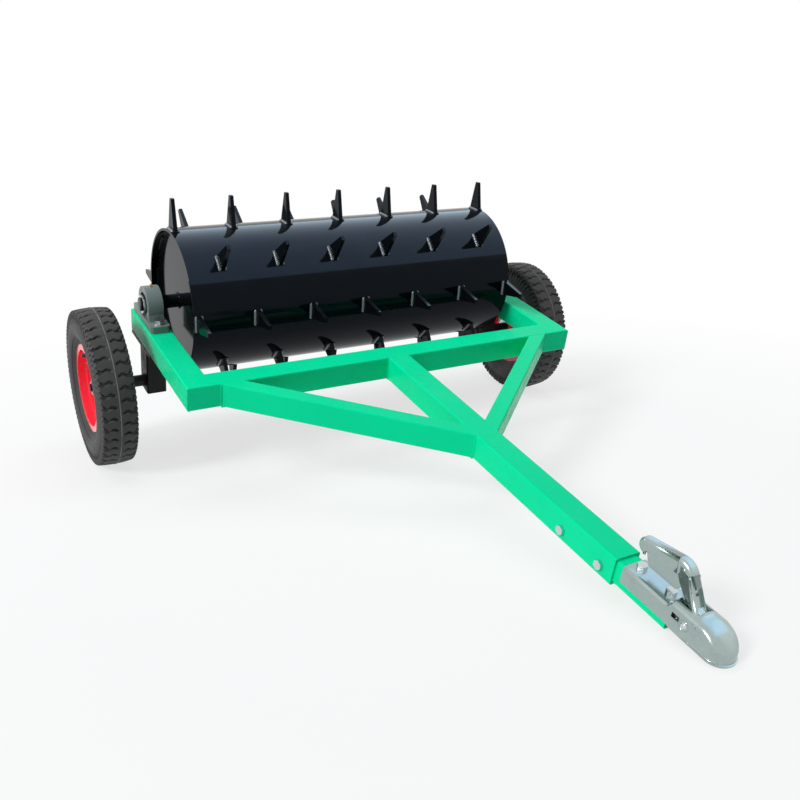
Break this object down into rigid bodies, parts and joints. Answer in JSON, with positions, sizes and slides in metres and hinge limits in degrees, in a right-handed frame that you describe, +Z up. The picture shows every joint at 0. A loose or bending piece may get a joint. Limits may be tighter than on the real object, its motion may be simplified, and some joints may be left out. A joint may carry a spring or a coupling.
{
  "type": "tow behind aerator",
  "caption": "Tow behind lawn aerator: a spiked drum turning on block bearings in a braced tube frame, carried on pneumatic wheels and drawn by a latching ball coupler.",
  "frame": {"origin": "middle of the bounding box on the ground", "axes": "+X along the drum to the right seen from the front, -Y towards the hitch, +Z up"},
  "size_m": [1.416, 1.7112, 0.6707],
  "materials": {
    "frame_green": "glossy emerald paint",
    "zinc_fastener": "bright zinc plating",
    "zinc_coupler": "bright zinc plating on pressed sheet",
    "dark_steel": "dark oiled steel",
    "block_casting": "grey-green paint on a casting",
    "bearing_steel": "ground steel",
    "nipple_brass": "plain brass",
    "leg_black": "satin black paint",
    "drum_black": "gloss black paint",
    "tyre_rubber": "matt moulded rubber",
    "tube_rubber": "soft butyl rubber",
    "rim_red": "gloss red paint"
  },
  "bodies": {
    "frame": {"left_rail": "frame_green", "right_rail": "frame_green", "front_crossmember": "frame_green", "drawbar": "frame_green", "left_brace": "frame_green", "right_brace": "frame_green", "drawbar_tongue": "frame_green", "drawbar_bolts": "zinc_fastener", "drawbar_nuts": "zinc_fastener", "coupler_body": "zinc_coupler", "coupler_bolts": "zinc_fastener", "coupler_nuts": "zinc_fastener", "handle_pin": "dark_steel", "side_rivets": "zinc_fastener", "jaw_spring": "dark_steel", "left_pillow_block": "block_casting", "right_pillow_block": "block_casting", "bearing_outer_rings": "bearing_steel", "grease_nipples": "nipple_brass", "block_bolts": "zinc_fastener", "block_washers": "zinc_fastener", "block_nuts": "zinc_fastener", "left_leg": "leg_black", "right_leg": "leg_black", "leg_plates": "leg_black", "left_axle": "leg_black", "right_axle": "leg_black", "axle_washers": "zinc_fastener", "axle_nuts": "zinc_fastener", "split_pins": "zinc_fastener", "wheel_inner_rings": "bearing_steel"},
    "drum": {"drum_shell": "drum_black", "left_end_plate": "drum_black", "right_end_plate": "drum_black", "drum_shaft": "drum_black", "spike_row_1": "drum_black", "spike_row_2": "drum_black", "spike_row_3": "drum_black", "spike_row_4": "drum_black", "spike_row_5": "drum_black", "spike_row_6": "drum_black", "spike_row_7": "drum_black", "spike_row_8": "drum_black", "bearing_inner_rings": "bearing_steel", "bearing_balls": "bearing_steel", "set_screws": "dark_steel"},
    "left_wheel": {"left_tyre": "tyre_rubber", "left_inner_tube": "tube_rubber", "left_rim": "rim_red", "left_hub": "rim_red", "left_wheel_bolts": "zinc_fastener", "left_wheel_bearings": "bearing_steel"},
    "right_wheel": {"right_tyre": "tyre_rubber", "right_inner_tube": "tube_rubber", "right_rim": "rim_red", "right_hub": "rim_red", "right_wheel_bolts": "zinc_fastener", "right_wheel_bearings": "bearing_steel"},
    "handle": {"coupler_handle": "zinc_coupler", "coupler_jaw": "dark_steel"}
  },
  "joints": [
    {"name": "drum_spin", "type": "hinge", "parent": "frame", "child": "drum", "pos_m": [0, 0.59286, 0.40824], "axis": [1, 0, 0], "continuous": true},
    {"name": "left_wheel_spin", "type": "hinge", "parent": "frame", "child": "left_wheel", "pos_m": [-0.661, 0.61711, 0.203], "axis": [1, 0, 0], "continuous": true},
    {"name": "right_wheel_spin", "type": "hinge", "parent": "frame", "child": "right_wheel", "pos_m": [0.661, 0.61711, 0.203], "axis": [1, 0, 0], "continuous": true},
    {"name": "coupler_release", "type": "hinge", "parent": "frame", "child": "handle", "pos_m": [0, -0.79273, 0.05156], "axis": [1, 0, 0], "range_deg": [0, 25], "stiffness_Nm_per_rad": 1.5, "springref_deg": -14.32, "deforming": ["jaw_spring"]}
  ]
}
